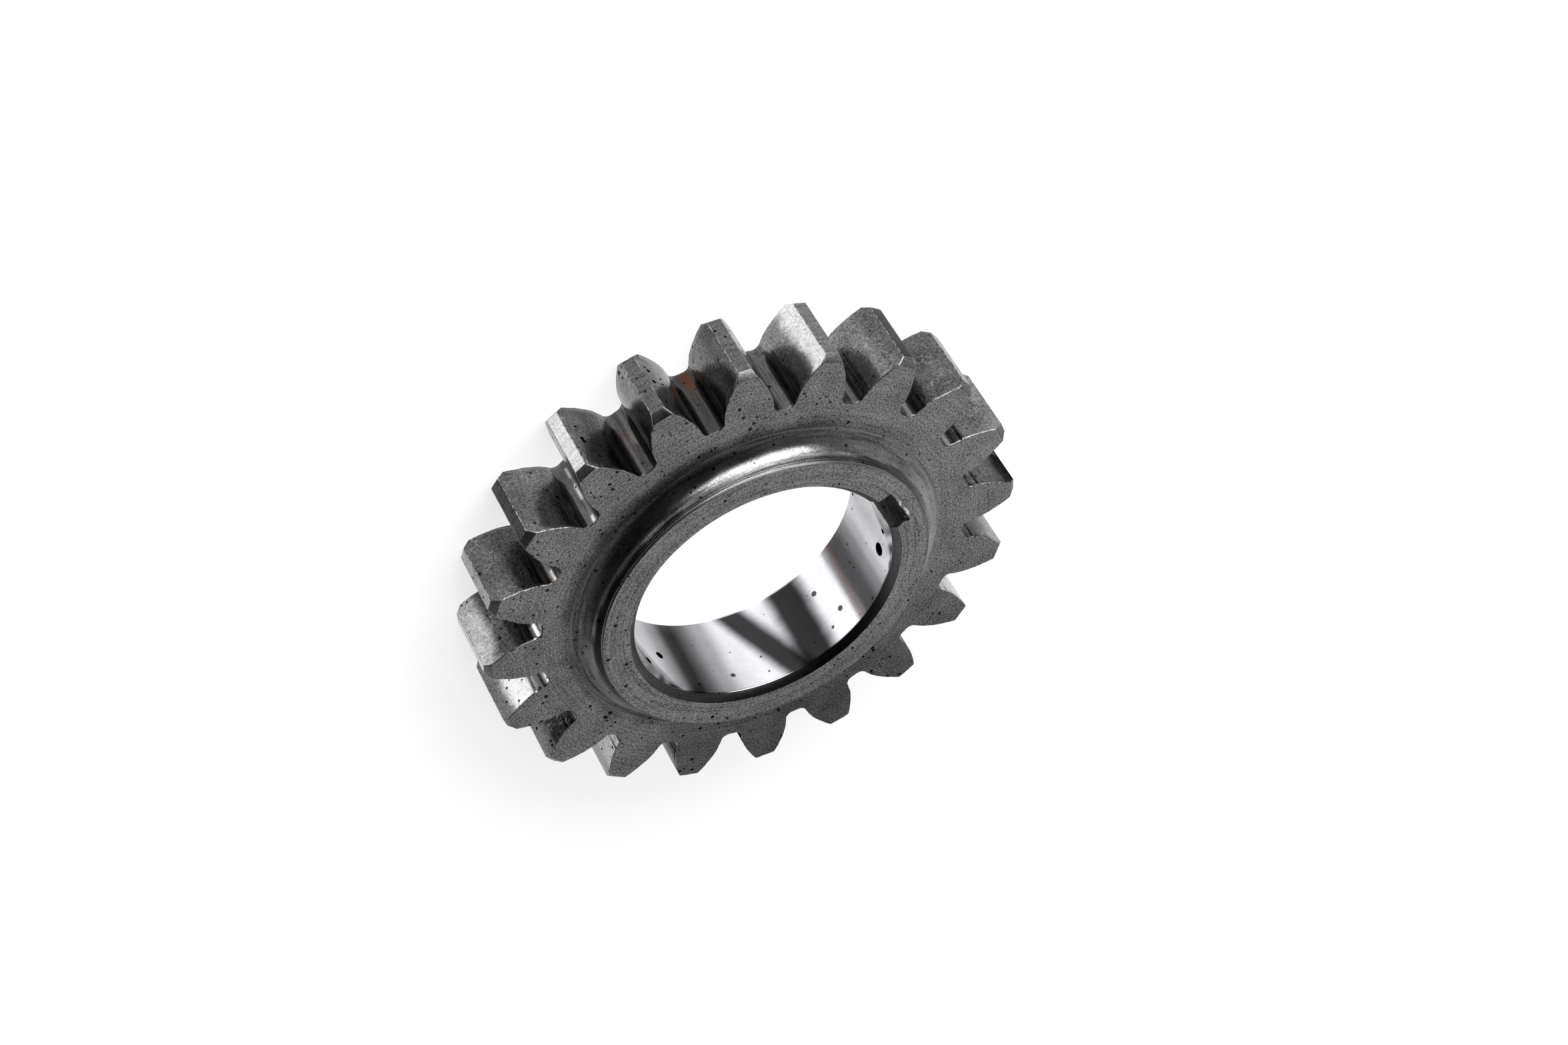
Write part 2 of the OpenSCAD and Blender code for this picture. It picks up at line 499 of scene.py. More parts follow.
# Painted highlights and reflections on the flanks, one step for each side of a tooth. The inner table paints
# them lower down, near the floors of the spaces
FLANK_PAINTED_LIGHT = [
    (0, 1.5), (9, 0.9), (54, 5.2), (63, 1.1), (72, 0.65), (81, 0.75), (90, 1.05), (99, 0.8), (108, 1.4),
    (117, 0.9), (153, 3.3), (162, 1.0), (171, 1.2), (180, 1.0), (207, 1.2), (216, 1.0), (225, 0.17),
    (234, 0.1), (288, 0.35), (297, 1.0), (306, 3.6), (315, 1.0), (324, 1.45), (333, 0.6), (342, 0.2),
    (351, 1.0)]
FLANK_INNER_PAINTED_LIGHT = [
    (0, 0.95), (18, 0.75), (27, 1.0), (36, 1.6), (45, 1.0), (54, 1.5), (63, 1.1), (81, 1.2), (99, 0.55),
    (108, 1.3), (126, 1.0), (135, 0.8), (144, 1.0), (153, 0.6), (162, 1.0), (171, 7.5), (180, 1.0),
    (189, 0.2), (198, 1.0), (207, 3.0), (216, 1.0), (225, 0.25), (234, 0.06), (288, 0.33), (297, 1.0),
    (306, 3.2), (315, 1.0), (324, 0.4), (342, 0.75), (351, 1.0)]
# Painted light and shade on the floors of the spaces, one step for each space
ROOT_PAINTED_LIGHT = [
    (0, 1.4), (36, 0.8), (63, 0.4), (81, 0.45), (99, 0.7), (117, 0.9), (126, 1.0), (144, 1.8), (162, 1.2),
    (180, 0.25), (198, 0.45), (216, 1.0)]
# Painted reflections round the bore's wall, which is almost a mirror
BORE_PAINTED_REFLECTIONS = [
    (0, 0.4), (30, 0.5), (120, 0.6), (190, 0.42), (203, 0.4), (212, 0.2), (226, 0.1), (235, 0.35),
    (244, 0.8), (254, 0.92), (284, 0.6), (290, 1.0), (298, 1.0), (302, 0.25), (306, 0.07), (311, 0.07),
    (318, 0.2), (323, 0.4), (328, 0.6), (338, 0.42)]
# Painted reflections on the bevels at the bore's mouth and the hub's edge, dark on one side
MOUTH_PAINTED_REFLECTIONS = [
    (0, 0.8), (60, 0.9), (120, 0.7), (180, 0.5), (200, 0.35), (215, 0.3), (258, 0.25), (275, 0.1),
    (290, 0.15), (305, 0.35), (320, 1.1), (335, 1.0), (350, 0.65)]
# Bands along the shaft's axis: degrees at the back face, degrees more for each mm up, degrees from the
# middle at which a band is full and at which it ends, middle height and half length in mm, and the
# factor on the tone. In the bore they are painted dark reflections, some of them slanted
BORE_PAINTED_BANDS = [
    (219.5, 0.0, 1.5, 8.5, 6.5, 9, 0.05), (250.0, 1.4, 3.0, 10.0, 6.5, 9, 0.05),
    (276.5, 0.0, 4.5, 11.5, 6.5, 9, 0.05), (168.3, 2.42, 9.5, 13.5, 10.0, 6.0, 0.35)]
# Painted glints: thin bright bands, as above, on the floors of some spaces
ROOT_PAINTED_GLINTS = [
    (117.1, 0.0, 0.1, 0.8, 5.5, 4.6, 1.9), (117.1, 0.0, 0.1, 0.8, 2.0, 0.8, 2.4),
    (117.2, 0.0, 0.1, 0.9, 5.0, 1.3, 3.6), (117.1, 0.0, 0.1, 0.9, 9.6, 1.3, 4.4),
    (98.3, 0.0, 0.1, 1.1, 1.5, 4.5, 2.0), (136.3, 0.0, 0.1, 0.8, 9.5, 1.6, 5.0),
    (155.4, 0.0, 0.1, 0.8, 9.5, 1.6, 6.0), (172.6, 0.0, 0.2, 1.0, 9.0, 2.4, 6.0),
    (190.6, 0.0, 0.2, 1.0, 9.4, 1.6, 8.0)]
# How much a band's sides waver, as a share of its full part, and how far its ends waver and fade, in mm
BAND_WAVER, BAND_END = 0.08, 0.6
# Dark spots on the bore's wall: degrees, height and radius in mm
BORE_SPOTS = [
    (330.8, 9.3, 0.95), (342.5, 9.6, 0.4), (288.2, 4.5, 0.42), (295.0, 8.8, 0.42), (207.0, 6.7, 0.6),
    (194.5, 9.0, 0.55), (239.5, 9.8, 0.35)]
# Where water sat in one tooth space, in mm, and how far the rust spread from there
RUST_MIDDLE, RUST_REACH = (*polar(26.0, math.radians(80.3)), 1.7), (0.85, 0.85, 2.6)


@dataclass
class Finish:
    """How one finish of the gear looks. Spacing and depth are in mm."""
    name: str
    # The colour it starts from, and how its tool marks run
    base: str
    rough: float
    marks: str
    spacing: float
    depth: float
    # How much marks, grain and larger clouds change the tone
    lines: float
    grain: float
    clouds: float
    # The share of the pattern's cells that hold a pit, and how much rust and scratches show
    pits: float = 0
    rust: float = 0
    scratches: float = 0
    # Whether painted shade also dulls what the steel mirrors at a low angle
    dulled_by_painted_shade: bool = False
    # The inner painted light and shade give way to the rest between two radii.
    # Stepped tables hold up to the next step
    painted_light: tuple = ()
    inner_painted_light: tuple = ()
    inner: tuple = ()
    stepped: bool = False
    # Painted bands along the shaft's axis: glints and dark reflections
    painted_bands: tuple = ()
    spots: tuple = ()
    # Degrees at which a thin reddish line runs up the bore
    stain: float = None


# The real marks are finer than a render shows, so they are drawn about twice as coarse.
FINISHES = {
    # Carbon steel faced on a lathe: dark and matt under old oil, fine rings, many small pits
    # Its tone tables paint light and shade round it, and painted shade next to the hub
    "face": Finish(
        name="lathe_faced_carbon_steel", base="faced", rough=0.42, marks="rings", spacing=0.13,
        depth=0.012, lines=0.5, grain=1.7, clouds=0.2, pits=0.95, painted_light=FACE_PAINTED_LIGHT,
        inner_painted_light=FACE_INNER_PAINTED_LIGHT, inner=(23.0, 25.0)),
    # The hub's face, cut last with a fine feed: a little lighter, and its rings show
    # Its tone table paints light and shade round it
    "hub": Finish(
        name="fine_faced_hub_steel", base="hub", rough=0.38, marks="rings", spacing=0.15, depth=0.012,
        lines=0.9, grain=1.4, clouds=0.1, pits=0.45, painted_light=HUB_PAINTED_LIGHT),
    # The hub's fillet, turned with a round tool: a smooth satin that catches the light
    # Its tone tables paint a highlight on one side and shade on the other
    "fillet": Finish(
        name="round_turned_fillet_steel", base="turned", rough=0.24, marks="rings", spacing=0.3,
        depth=0.01, lines=1.5, grain=0.8, clouds=0.08, pits=0.5, rust=0.25, painted_light=FILLET_PAINTED_LIGHT,
        inner_painted_light=FILLET_INNER_PAINTED_LIGHT, inner=(20.5, 20.85)),
    # Bevels: turned with a coarse feed, dull enough to pick up light from the side
    # Its tone table paints reflections, one step for each tooth
    "bevel": Finish(
        name="coarse_turned_bevel_steel", base="turned", rough=0.46, marks="rings", spacing=0.25,
        depth=0.016, lines=0.7, grain=0.8, clouds=0.1, pits=0.3, painted_light=BEVEL_PAINTED_LIGHT, stepped=True),
    # Tips of the teeth: what is left of the turned blank, with lines across each tooth
    # Its tone table paints highlights and shade, one step for each tooth
    "land": Finish(
        name="turned_blank_steel", base="land", rough=0.34, marks="rings", spacing=0.25, depth=0.016,
        lines=0.6, grain=1.0, clouds=0.2, pits=0.5, painted_light=LAND_PAINTED_LIGHT, stepped=True),
    # Flanks: hobbed and run in, smooth and a little shiny, with painted highlights and reflections
    "flank": Finish(
        name="hobbed_flank_steel", base="hobbed", rough=0.19, marks="grain", spacing=0.5, depth=0.006,
        lines=0.4, grain=1.2, clouds=0.45, pits=0.6, rust=0.25, scratches=1.1, dulled_by_painted_shade=True,
        painted_light=FLANK_PAINTED_LIGHT, inner_painted_light=FLANK_INNER_PAINTED_LIGHT, inner=(30.3, 31.9), stepped=True),
    # Floors of the spaces: hobbed, with long lines, thin rust, painted light and shade and painted glints
    "root": Finish(
        name="hobbed_root_steel", base="hobbed", rough=0.17, marks="lengthways", spacing=0.28,
        depth=0.008, lines=0.6, grain=0.5, clouds=0.3, pits=0.4, rust=0.55, painted_light=ROOT_PAINTED_LIGHT,
        stepped=True, painted_bands=ROOT_PAINTED_GLINTS),
    # The bore: ground and worn by the shaft, almost a mirror, with painted reflections round it and along it
    "bore": Finish(
        name="ground_bore_steel", base="ground", rough=0.1, marks="rings", spacing=0.6, depth=0.0006,
        lines=0.05, grain=0.1, clouds=0.12, pits=0.2, painted_light=BORE_PAINTED_REFLECTIONS, painted_bands=BORE_PAINTED_BANDS,
        spots=BORE_SPOTS, stain=306),
    # Bevels at the mouth of the bore and on the hub's edge, with painted reflections, dark on one side
    "mouth": Finish(
        name="turned_mouth_steel", base="turned", rough=0.34, marks="rings", spacing=0.25, depth=0.006,
        lines=0.4, grain=0.4, clouds=0.1, pits=0.2, painted_light=MOUTH_PAINTED_REFLECTIONS),
    # Keyway: broached, with lines the way the broach went, and darkened all over as painted shade
    "key": Finish(
        name="broached_keyway_steel", base="turned", rough=0.4, marks="lengthways", spacing=0.25,
        depth=0.014, lines=0.9, grain=0.6, clouds=0.2, pits=0.3, painted_light=[(0, 0.33)]),
    # Edges of the teeth: burrs and wear show brighter metal in places
    "edge": Finish(
        name="worn_edge_steel", base="worn", rough=0.3, marks="grain", spacing=0.6, depth=0.01, lines=2.6,
        grain=1.0, clouds=0.4),
    # Burrs at the end of the keyway's floor: torn metal that shines
    "burr": Finish(
        name="torn_burr_steel", base="ground", rough=0.15, marks="grain", spacing=0.5, depth=0.03,
        lines=0.5, grain=0.4, clouds=0.2),
}
# Swings to a mm of the patterns that the finishes share. The real grain is finer, and would not show
GRAIN, CLOUDS, RAGGED, RUST, SCRATCHES, SCRATCHED, PITTED = 4.4, 0.3, 4.0, 0.9, 1.5, 0.35, 0.2
# How rough the noises are, how far they swing, and how much the lathe rings change round the gear and
# the cut lines along it
NOISE_ROUGHNESS, SWING, ROUND_CHANGE, ALONG_CHANGE = 0.62, 5.0, 2.5, 0.1
# How far the border of the inner painted light and shade wavers, as a share of its width. How strongly
# the marks change the tone, how much less where it is bright, and the least share of it that they leave
BORDER_WAVER, MARK_STRENGTH, BRIGHT_CALM, DARKEST = 0.25, 0.5, 0.35, 0.25
# Pits: width of the cell that holds one, its greatest radius and how far it is ragged, in mm, how
# quickly large ones get rare, and the share of its colour that covers the steel
PIT_CELL, PIT_RADIUS, PIT_RAGGED, PIT_RARITY, PIT_COVER = 0.7, 0.33, 0.12, 1.6, 0.9
# Heights of grain and pits beside the marks, and of all of these beside the finish's depth
GRAIN_HEIGHT, PIT_HEIGHT, RELIEF = 0.5, -2.0, 0.4
# Fades: the values at which each starts and ends, and the amounts there if they aren't 0 and 1.
# The gleam fade dulls what a flank mirrors where its tone table paints shade
SCRATCH_LINE, SCRATCHED_AREA, PAINTED_SHADE_GLEAM = (0.25, 0.0), (0.25, 0.7), (0.05, 0.4)
PITTED_AREA, PITTED_SIDE = (-0.6, 0.6, 0.6, 1.0), (8.0, 26.0, 1.0, 0.65)
PIT_SLOPE, SPOT_SLOPE, ROUGH_SWING = 0.3, 0.75, (1.2, 0.85)
RUST_FADE, PATCH_FADE, PATCH_WAVER = (0.3, 1.0), (1.1, 0.3, 0.0, 0.75), 0.35
STAIN_FADE, STAIN_LEAN, STAIN_WAVER = (3 / 360, 1 / 360, 0.0, 0.3), 0.4 / 360, 0.6 / 360


class Steel:
    """The material of one finish of the gear. Its patterns are worked out in mm."""

    def __init__(self, finish, colours):
        self.finish, self.colours = finish, colours
        self.material = bpy.data.materials.new(finish.name)
        self.material.use_nodes = True
        self.material.node_tree.nodes.clear()
        self.add = partial(add, self.material.node_tree)
        self.locate()
        self.lines = self.swing(self.tool_marks(), 1.0)
        self.grain = self.swing(self.place, GRAIN, 2.0)
        self.cloud = self.swing(self.place, CLOUDS)
        self.level = self.painted_light_level()

    def locate(self):
        """Where a point lies: in mm, as a radius, and as the share of a turn from the tooth on +X."""
        metres = self.add("ShaderNodeTexCoord").outputs["Object"]
        self.place = self.add(VECTOR_MATH, {0: metres, "Scale": 1 / MM}, "SCALE")
        self.x, y, self.height = self.add("ShaderNodeSeparateXYZ", (self.place,)).outputs
        self.flat = self.add(VECTOR_MATH, (self.place, (1, 1, 0)), "MULTIPLY")
        self.radius = self.add(VECTOR_MATH, (self.flat,), "LENGTH").outputs["Value"]
        angle = self.add(MATH, (y, self.x), "ARCTAN2")
        turns = self.add(MATH, (angle, 2 * math.pi), "DIVIDE")
        turns = self.add(MATH, (turns, 1.0), "ADD")
        self.turn = self.add(MATH, (turns,), "FRACT")

    def swing(self, pattern, scale, detail=3.0):
        """A noise that swings about zero, mostly between -1 and 1."""
        raw = self.add("ShaderNodeTexNoise",
                       {"Vector": pattern, "Scale": scale, "Detail": detail, "Roughness": NOISE_ROUGHNESS})
        return self.add(MATH, (raw, SWING, -SWING / 2), "MULTIPLY_ADD")

    def tool_marks(self):
        """The pattern that the tool marks follow, one unit for each mark."""
        spacing = self.finish.spacing
        if self.finish.marks == "rings":
            # Lathe marks are rings: they change along the turned profile and little around it
            along = self.add(MATH, (self.radius, self.height), "ADD")
            along = self.add(MATH, (along, spacing), "DIVIDE")
            up = self.add("ShaderNodeCombineXYZ", {"Z": along})
            around = self.add(VECTOR_MATH, (self.flat,), "NORMALIZE")
            change = (ROUND_CHANGE, ROUND_CHANGE, 0)
            return self.add(VECTOR_MATH, (around, change, up), "MULTIPLY_ADD")
        # Cut lines that run the length of a tooth, or a pattern with no direction
        stretch = (1, 1, ALONG_CHANGE) if self.finish.marks == "lengthways" else (1, 1, 1)
        return self.add(VECTOR_MATH, (self.place, [s / spacing for s in stretch]), "MULTIPLY")

    def painted_light_round(self, painted_light):
        """The painted light and shade all round the gear, from a table of degrees and factors."""
        stepped = self.finish.stepped
        closed = list(painted_light)
        if painted_light[0][0] > 0:
            closed.insert(0, (0, painted_light[-1][1]))
        if len(painted_light) > 1 and not stepped:
            closed.append((360, painted_light[0][1]))
        ramp = self.add("ShaderNodeValToRGB", (self.turn,))
        ramp.color_ramp.interpolation = "CONSTANT" if stepped else "EASE"
        stops = ramp.color_ramp.elements
        while len(stops) < len(closed):
            stops.new(1.0)
        for stop, (degrees, _) in zip(stops, closed):
            stop.position = degrees / 360
        # The stops hold shares of the lightest tone
        lightest = max(tone for _, tone in painted_light)
        for stop, (_, tone) in zip(stops, closed):
            stop.color = (tone / lightest,) * 3 + (1,)
        return self.add(MATH, (ramp, lightest), "MULTIPLY")

    def painted_light_level(self):
        """The painted light and shade at each place, before marks and grain change it."""
        finish = self.finish
        if not finish.painted_light:
            return 1.0
        level = self.painted_light_round(finish.painted_light)
        if finish.inner_painted_light:
            # The inner painted light and shade hold nearer the shaft, with an uneven border
            inner = self.painted_light_round(finish.inner_painted_light)
            from_r, to_r = finish.inner
            waver = BORDER_WAVER * (to_r - from_r)
            border = self.add(MATH, (self.cloud, waver, self.radius), "MULTIPLY_ADD")
            outside = self.add(RANGE, (border, from_r, to_r), **SMOOTH)
            change = self.add(MATH, (level, inner), "SUBTRACT")
            level = self.add(MATH, (change, outside, inner), "MULTIPLY_ADD")
        for band in finish.painted_bands:
            level = self.with_painted_band(level, *band)
        return level

    def with_painted_band(self, level, degrees, lean, full, end, middle, half, factor):
        """The level with one painted band along the shaft's axis, bright for a glint and dark for a
        reflection.
        """
        centre = self.add(MATH, (self.height, lean / 360, degrees / 360), "MULTIPLY_ADD")
        off = self.add(MATH, (self.turn, centre), "SUBTRACT")
        off = self.add(MATH, (off,), "ABSOLUTE")
        off = self.add(MATH, (self.cloud, BAND_WAVER * full / 360, off), "MULTIPLY_ADD")
        across = self.add(RANGE, (off, full / 360, end / 360, 1.0, 0.0), **SMOOTH)
        beyond = self.add(MATH, (self.height, middle), "SUBTRACT")
        beyond = self.add(MATH, (beyond,), "ABSOLUTE")
        beyond = self.add(MATH, (self.cloud, BAND_END, beyond), "MULTIPLY_ADD")
        along = self.add(RANGE, (beyond, half - BAND_END, half, 1.0, 0.0), **SMOOTH)
        within = self.add(MATH, (across, along), "MULTIPLY")
        change = self.add(MATH, (within, factor - 1, 1.0), "MULTIPLY_ADD")
        return self.add(MATH, (level, change), "MULTIPLY")

    def marked_tone(self):
        """The tone with marks, grain and clouds, which change it less on the brightest steel."""
        finish, marks = self.finish, 0.0
        for pattern, amount in ((self.lines, finish.lines), (self.grain, finish.grain),
                                (self.cloud, finish.clouds)):
            marks = self.add(MATH, (pattern, MARK_STRENGTH * amount, marks), "MULTIPLY_ADD")
        calm = self.add(MATH, (self.level, 1.0), "MAXIMUM")
        calm = self.add(MATH, (calm, BRIGHT_CALM), "POWER")
        marks = self.add(MATH, (marks, calm), "DIVIDE")
        marks = self.add(MATH, (marks, 1.0), "ADD")
        marks = self.add(MATH, (marks, DARKEST), "MAXIMUM")
        return self.add(MATH, (self.level, marks), "MULTIPLY")

    def scratched(self, tone):
        """The tone with fine bright scratches in a few places, where a noise passes through its middle."""
        line = self.add(MATH, (self.swing(self.place, SCRATCHES, 1.0),), "ABSOLUTE")
        line = self.add(RANGE, (line, *SCRATCH_LINE), **SMOOTH)
        area = self.add(RANGE, (self.swing(self.place, SCRATCHED, 0.0), *SCRATCHED_AREA), **SMOOTH)
        both = self.add(MATH, (line, area), "MULTIPLY")
        return self.add(MATH, (both, self.finish.scratches, tone), "MULTIPLY_ADD")

    def rust(self):
        """How much rust shows: thin in places, and in one tooth space a thicker patch."""
        thin = self.swing(self.place, RUST)
        thin = self.add(RANGE, (thin, *RUST_FADE, 0.0, self.finish.rust), **SMOOTH)
        off = self.add(VECTOR_MATH, (self.place, RUST_MIDDLE), "SUBTRACT")
        off = self.add(VECTOR_MATH, (off, [1 / reach for reach in RUST_REACH]), "MULTIPLY")
        off = self.add(VECTOR_MATH, (off,), "LENGTH").outputs["Value"]
        off = self.add(MATH, (self.lines, PATCH_WAVER, off), "MULTIPLY_ADD")
        thick = self.add(RANGE, (off, *PATCH_FADE), **SMOOTH)
        return self.add(MATH, (thin, thick), "MAXIMUM")

    def stain(self):
        """How much shows of a thin reddish line, which leans a little."""
        off = self.add(MATH, (self.turn, self.finish.stain / 360), "SUBTRACT")
        off = self.add(MATH, (self.height, STAIN_LEAN, off), "MULTIPLY_ADD")
        off = self.add(MATH, (off,), "ABSOLUTE")
        off = self.add(MATH, (self.grain, STAIN_WAVER, off), "MULTIPLY_ADD")
        return self.add(RANGE, (off, *STAIN_FADE), **SMOOTH)

    def hollows(self):
        """Where a pit or a dark spot is, from 0 to 1."""
        finish = self.finish
        if not finish.pits:
            return 0.0
        shift = self.add("ShaderNodeTexNoise", {"Vector": self.place, "Scale": RAGGED}).outputs["Color"]
        ragged = self.add(VECTOR_MATH, (shift, (PIT_RAGGED,) * 3, self.place), "MULTIPLY_ADD")
        # Each cell of the pattern holds one pit of its own size, or none
        cells = self.add("ShaderNodeTexVoronoi", {"Vector": ragged, "Scale": 1 / PIT_CELL})
        size = self.add("ShaderNodeSeparateXYZ", (cells.outputs["Color"],))
        size = self.add(RANGE, (size, 1 - finish.pits, 1.0))
        size = self.add(MATH, (size, PIT_RARITY), "POWER")
        size = self.add(MATH, (size, PIT_RADIUS / PIT_CELL), "MULTIPLY")
        # Some areas have large pits and others have small ones, and on the +X side they are smaller
        area = self.swing(self.place, PITTED, 1.0)
        for pattern, fade in ((area, PITTED_AREA), (self.x, PITTED_SIDE)):
            share = self.add(RANGE, (pattern, *fade), **SMOOTH)
            size = self.add(MATH, (size, share), "MULTIPLY")
        inside = self.add(MATH, (size, cells.outputs["Distance"]), "SUBTRACT")
        hollow = self.add(RANGE, (inside, 0.0, PIT_SLOPE * PIT_RADIUS / PIT_CELL), **SMOOTH)
        for degrees, rise, radius in finish.spots:
            spot = (*polar(bore_mount["dims"]["r_mm"], math.radians(degrees)), rise)
            away = self.add(VECTOR_MATH, (ragged, spot), "DISTANCE").outputs["Value"]
            dark = self.add(RANGE, (away, radius, SPOT_SLOPE * radius), **SMOOTH)
            hollow = self.add(MATH, (hollow, dark), "MAXIMUM")
        return hollow

    def build(self):
        """Join it all in one metal, and give back the material."""
        finish, colours = self.finish, self.colours
        tone, hollow = self.marked_tone(), self.hollows()
        if finish.scratches:
            tone = self.scratched(tone)
        # What lies over the steel: how much of it shows, and its colour
        layers = []
        if finish.rust:
            layers.append((self.rust(), colours.rust))
        if finish.stain is not None:
            layers.append((self.stain(), colours.rust))
        layers.append((self.add(MATH, (hollow, PIT_COVER), "MULTIPLY"), colours.pit))
        skin = self.add(VECTOR_MATH, {0: getattr(colours, finish.base)[:], "Scale": tone}, "SCALE")
        for amount, cover in layers:
            mixed = self.add("ShaderNodeMix", {0: amount, 6: skin, 7: (*cover, 1)}, data_type="RGBA")
            skin = mixed.outputs[2]

        relief = self.add(MATH, (self.grain, GRAIN_HEIGHT, self.lines), "MULTIPLY_ADD")
        relief = self.add(MATH, (hollow, PIT_HEIGHT, relief), "MULTIPLY_ADD")
        bump = self.add("ShaderNodeBump", {"Height": relief, "Distance": finish.depth * RELIEF * MM})
        roughest, smoothest = (finish.rough * share for share in ROUGH_SWING)
        rough = self.add(RANGE, (self.cloud, -1.0, 1.0, roughest, smoothest), **SMOOTH)
        # Where a flank's tone table paints shade, even what it mirrors at a low angle is dulled.
        # The dirt in a pit mirrors nothing
        gleam = self.add(RANGE, (self.level, *PAINTED_SHADE_GLEAM), **SMOOTH) if finish.dulled_by_painted_shade else 1.0
        clean = self.add(MATH, (1.0, hollow), "SUBTRACT")
        gleam = self.add(MATH, (gleam, clean), "MULTIPLY")
        steel = self.add("ShaderNodeBsdfPrincipled", {"Base Color": skin, "Metallic": 1.0, "Roughness": rough,
                                                      "Normal": bump, "Specular Tint": gleam})
        self.add("ShaderNodeOutputMaterial", {"Surface": steel})
        return self.material


# Stage

# How much the paper glows by itself near the gear's middle and away from it, and the radii in metres
# between which that changes
GLOW_MIDDLE, GLOW_AROUND, GLOW_FROM, GLOW_TO = 0.98, 0.7, 0.016, 0.034
# The paper's fibres, to a metre, and their height in metres
FIBRES, FIBRE_HEIGHT = 900.0, 0.00002
# Radii of the sweep's rings and how far it lies under the gear, in metres, and the steps round it
SWEEP_RINGS, SWEEP_GAP, SWEEP_STEPS = (0.03, 0.06, 0.15, 0.4, 1.0, 2.5), 0.00001, 96
# How light the room is and how much lighter its wall, how far the wall is turned towards +X, and where
# the wall begins and is full, from the side and from above
ROOM_LIGHT, WALL_LIGHT, WALL_TURN = 0.05, 0.52, -0.25
WALL_SIDE, WALL_TOP = (0.25, -0.6), (1.04, 0.6)


def sweep_material(colours):
    """Matt white paper. The camera, metal and glass also see a part of it as white by itself, so that
    it reads as white and still keeps the gear's shadow."""
    material = bpy.data.materials.new("matt_paper_sweep")
    material.use_nodes = True
    tree = material.node_tree
    tree.nodes.clear()
    path = add(tree, "ShaderNodeLightPath").outputs
    seen = path["Is Camera Ray"]
    for ray in ("Is Glossy Ray", "Is Transmission Ray"):
        seen = add(tree, MATH, (seen, path[ray]), "MAXIMUM")
    # Inside the bore the glow makes up for the gear's own shade, so the paper there reads white too
    place = add(tree, "ShaderNodeTexCoord").outputs["Object"]
    radius = add(tree, VECTOR_MATH, (place,), "LENGTH").outputs["Value"]
    amount = add(tree, RANGE, (radius, GLOW_FROM, GLOW_TO, GLOW_MIDDLE, GLOW_AROUND), **SMOOTH)
    strength = add(tree, MATH, (seen, amount), "MULTIPLY")
    fibres = add(tree, "ShaderNodeTexNoise", {"Scale": FIBRES, "Detail": 2})
    bump = add(tree, "ShaderNodeBump", {"Height": fibres, "Distance": FIBRE_HEIGHT})
    paper = add(tree, "ShaderNodeBsdfDiffuse", {"Color": (*colours.floor, 1), "Normal": bump})
    glow = add(tree, "ShaderNodeEmission", {"Color": (1, 1, 1, 1), "Strength": strength})
    both = add(tree, "ShaderNodeAddShader", (paper, glow))
    add(tree, "ShaderNodeOutputMaterial", {"Surface": both})
    return material


def make_sweep(colours):
    """A large flat sheet of paper, finely divided under the gear."""
    points = [(0, 0, -SWEEP_GAP)]
    for r in SWEEP_RINGS:
        points += [(*polar(r, 2 * math.pi * i / SWEEP_STEPS), -SWEEP_GAP) for i in range(SWEEP_STEPS)]
    faces = []
    for i in range(SWEEP_STEPS):
        j = (i + 1) % SWEEP_STEPS
        faces.append((0, 1 + i, 1 + j))
        for row in range(len(SWEEP_RINGS) - 1):
            a, b = 1 + row * SWEEP_STEPS, 1 + (row + 1) * SWEEP_STEPS
            faces.append((a + i, b + i, b + j, a + j))
    mesh = bpy.data.meshes.new("paper_sweep")
    mesh.from_pydata(points, [], faces)
    mesh.materials.append(sweep_material(colours))
    sweep = bpy.data.objects.new("paper_sweep", mesh)
    bpy.context.scene.collection.objects.link(sweep)


def make_room():
    """A dim room with one light wall, on the -Y side, that the gear's faces mirror."""
    world = bpy.data.worlds.new("studio_room")
    world.use_nodes = True
    tree = world.node_tree
    tree.nodes.clear()
    ray = add(tree, "ShaderNodeTexCoord").outputs["Generated"]
    x, y, z = add(tree, "ShaderNodeSeparateXYZ", (ray,)).outputs
    side = add(tree, MATH, (x, WALL_TURN, y), "MULTIPLY_ADD")
    near = add(tree, RANGE, (side, *WALL_SIDE), **SMOOTH)
    low = add(tree, RANGE, (z, *WALL_TOP))
    wall = add(tree, MATH, (near, low), "MULTIPLY")
    strength = add(tree, MATH, (wall, WALL_LIGHT, ROOM_LIGHT), "MULTIPLY_ADD")
    room = add(tree, "ShaderNodeBackground", {"Color": (1, 1, 1, 1), "Strength": strength})
    add(tree, "ShaderNodeOutputWorld", {"Surface": room})
    return world


def looking_at(aim, azimuth, elevation, roll, distance):
    """Where something stands that looks at a point from a side, in degrees, with its own roll."""
    a, e = math.radians(azimuth), math.radians(elevation)
    back = Vector((math.cos(a) * math.cos(e), math.sin(a) * math.cos(e), math.sin(e)))
    right = Vector((0, 0, 1)).cross(back).normalized()
    level = Matrix((right, back.cross(right), back)).transposed()
    rolled = level @ Matrix.Rotation(math.radians(roll), 3, "Z")
    return Matrix.Translation(aim + back * distance) @ rolled.to_4x4()


def make_lamp():
    """One large soft lamp, low at the side."""
    width, height, radiance = 1.0, 0.5, 4.2
    lamp = bpy.data.lights.new("side_softbox", "AREA")
    lamp.shape, lamp.size, lamp.size_y = "RECTANGLE", width, height
    lamp.energy = radiance * math.pi * width * height
    holder = bpy.data.objects.new("side_softbox", lamp)
    holder.matrix_world = looking_at(Vector(), azimuth=57, elevation=18, roll=-8, distance=0.8)
    bpy.context.scene.collection.objects.link(holder)


